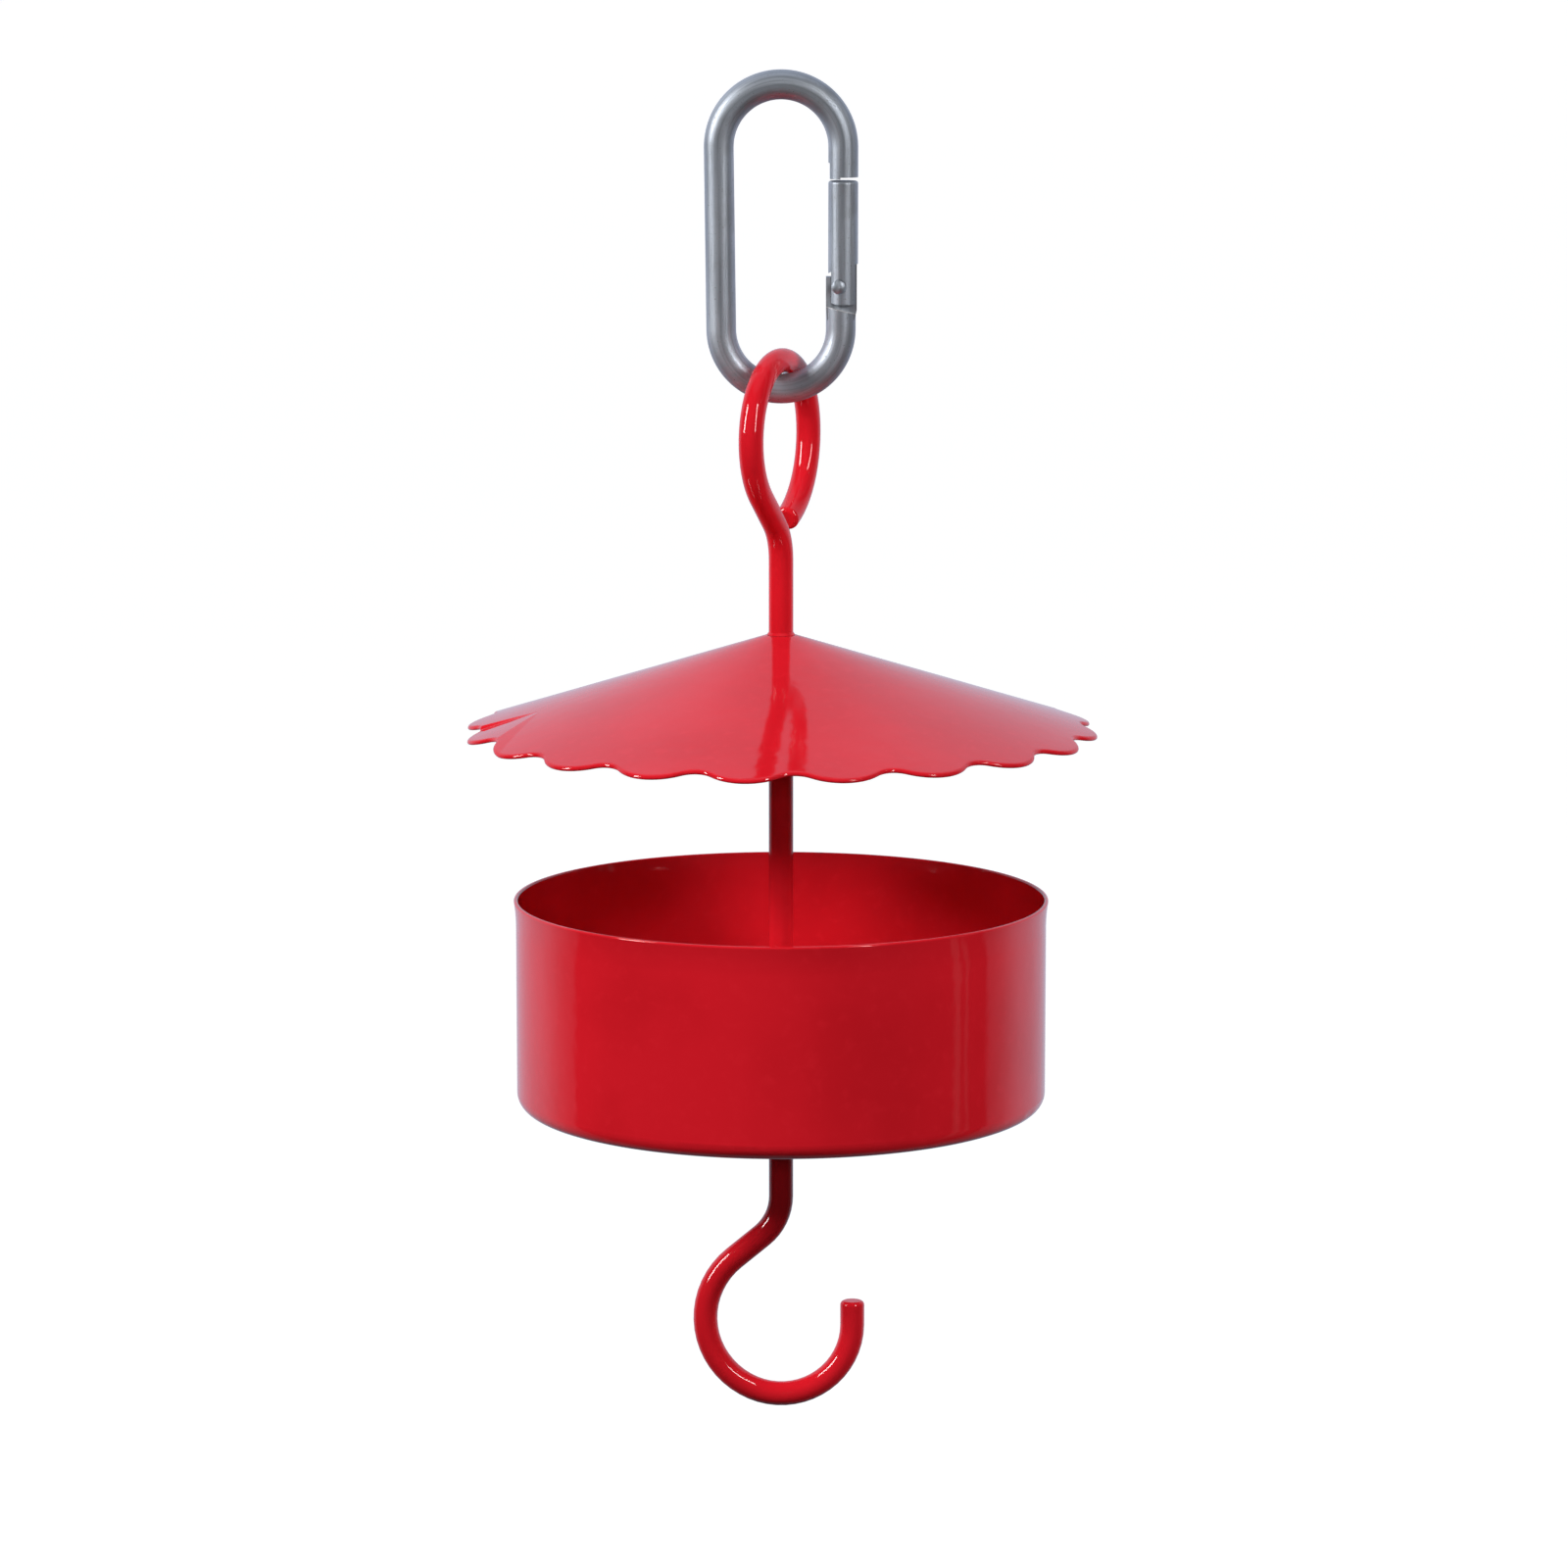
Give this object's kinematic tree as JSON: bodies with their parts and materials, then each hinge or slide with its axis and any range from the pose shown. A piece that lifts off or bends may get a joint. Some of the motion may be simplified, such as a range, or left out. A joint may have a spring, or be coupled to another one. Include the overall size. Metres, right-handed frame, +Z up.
{
  "type": "hanging ant moat with rain cover",
  "caption": "Hanging ant moat: a snap hook carries a bent rod with an eye, a scalloped conical rain cover, an open water cup and a hook for a nectar feeder.",
  "frame": {"origin": "the hang point: the underside of the snap hook's top bend, on the rod's line", "axes": "+Z up along the rod, +X across the snap hook towards its gate, -Y towards a viewer in front"},
  "size_m": [0.1282, 0.1282, 0.2756],
  "materials": {
    "red_coat": "gloss powder coat on steel",
    "galvanised": "satin zinc-plated steel",
    "spring_steel": "bright drawn steel"
  },
  "bodies": {
    "snap_hook": {"carabiner_body": "galvanised"},
    "gate": {"carabiner_gate": "galvanised", "gate_rivet": "galvanised", "gate_spring": "spring_steel"},
    "pin": {"gate_pin": "spring_steel"},
    "hanger": {"hanger_rod": "red_coat", "rain_cover": "red_coat", "moat_cup": "red_coat", "cover_top_weld": "red_coat", "cover_underside_weld": "red_coat", "cup_floor_weld": "red_coat", "cup_underside_weld": "red_coat"}
  },
  "joints": [
    {"name": "gate_hinge", "type": "hinge", "parent": "snap_hook", "child": "gate", "pos_m": [0.0116, 0, -0.0374], "axis": [0, -1, 0], "range_deg": [0, 25], "stiffness_Nm_per_rad": 0.05, "springref_deg": -20.05},
    {"name": "pin_slide", "type": "slide", "parent": "gate", "child": "pin", "axis": [0, 0, 1], "range_m": [0, 0.000513], "deforming": ["gate_spring"]},
    {"name": "hanger_swing", "type": "hinge", "parent": "snap_hook", "child": "hanger", "pos_m": [0, 0, -0.0581], "axis": [1, 0, 0], "range_deg": [-90, 90]}
  ],
  "couplings": [
    {"joint": "pin_slide", "follows": "gate_hinge", "m_per_rad": 0.0011535}
  ]
}
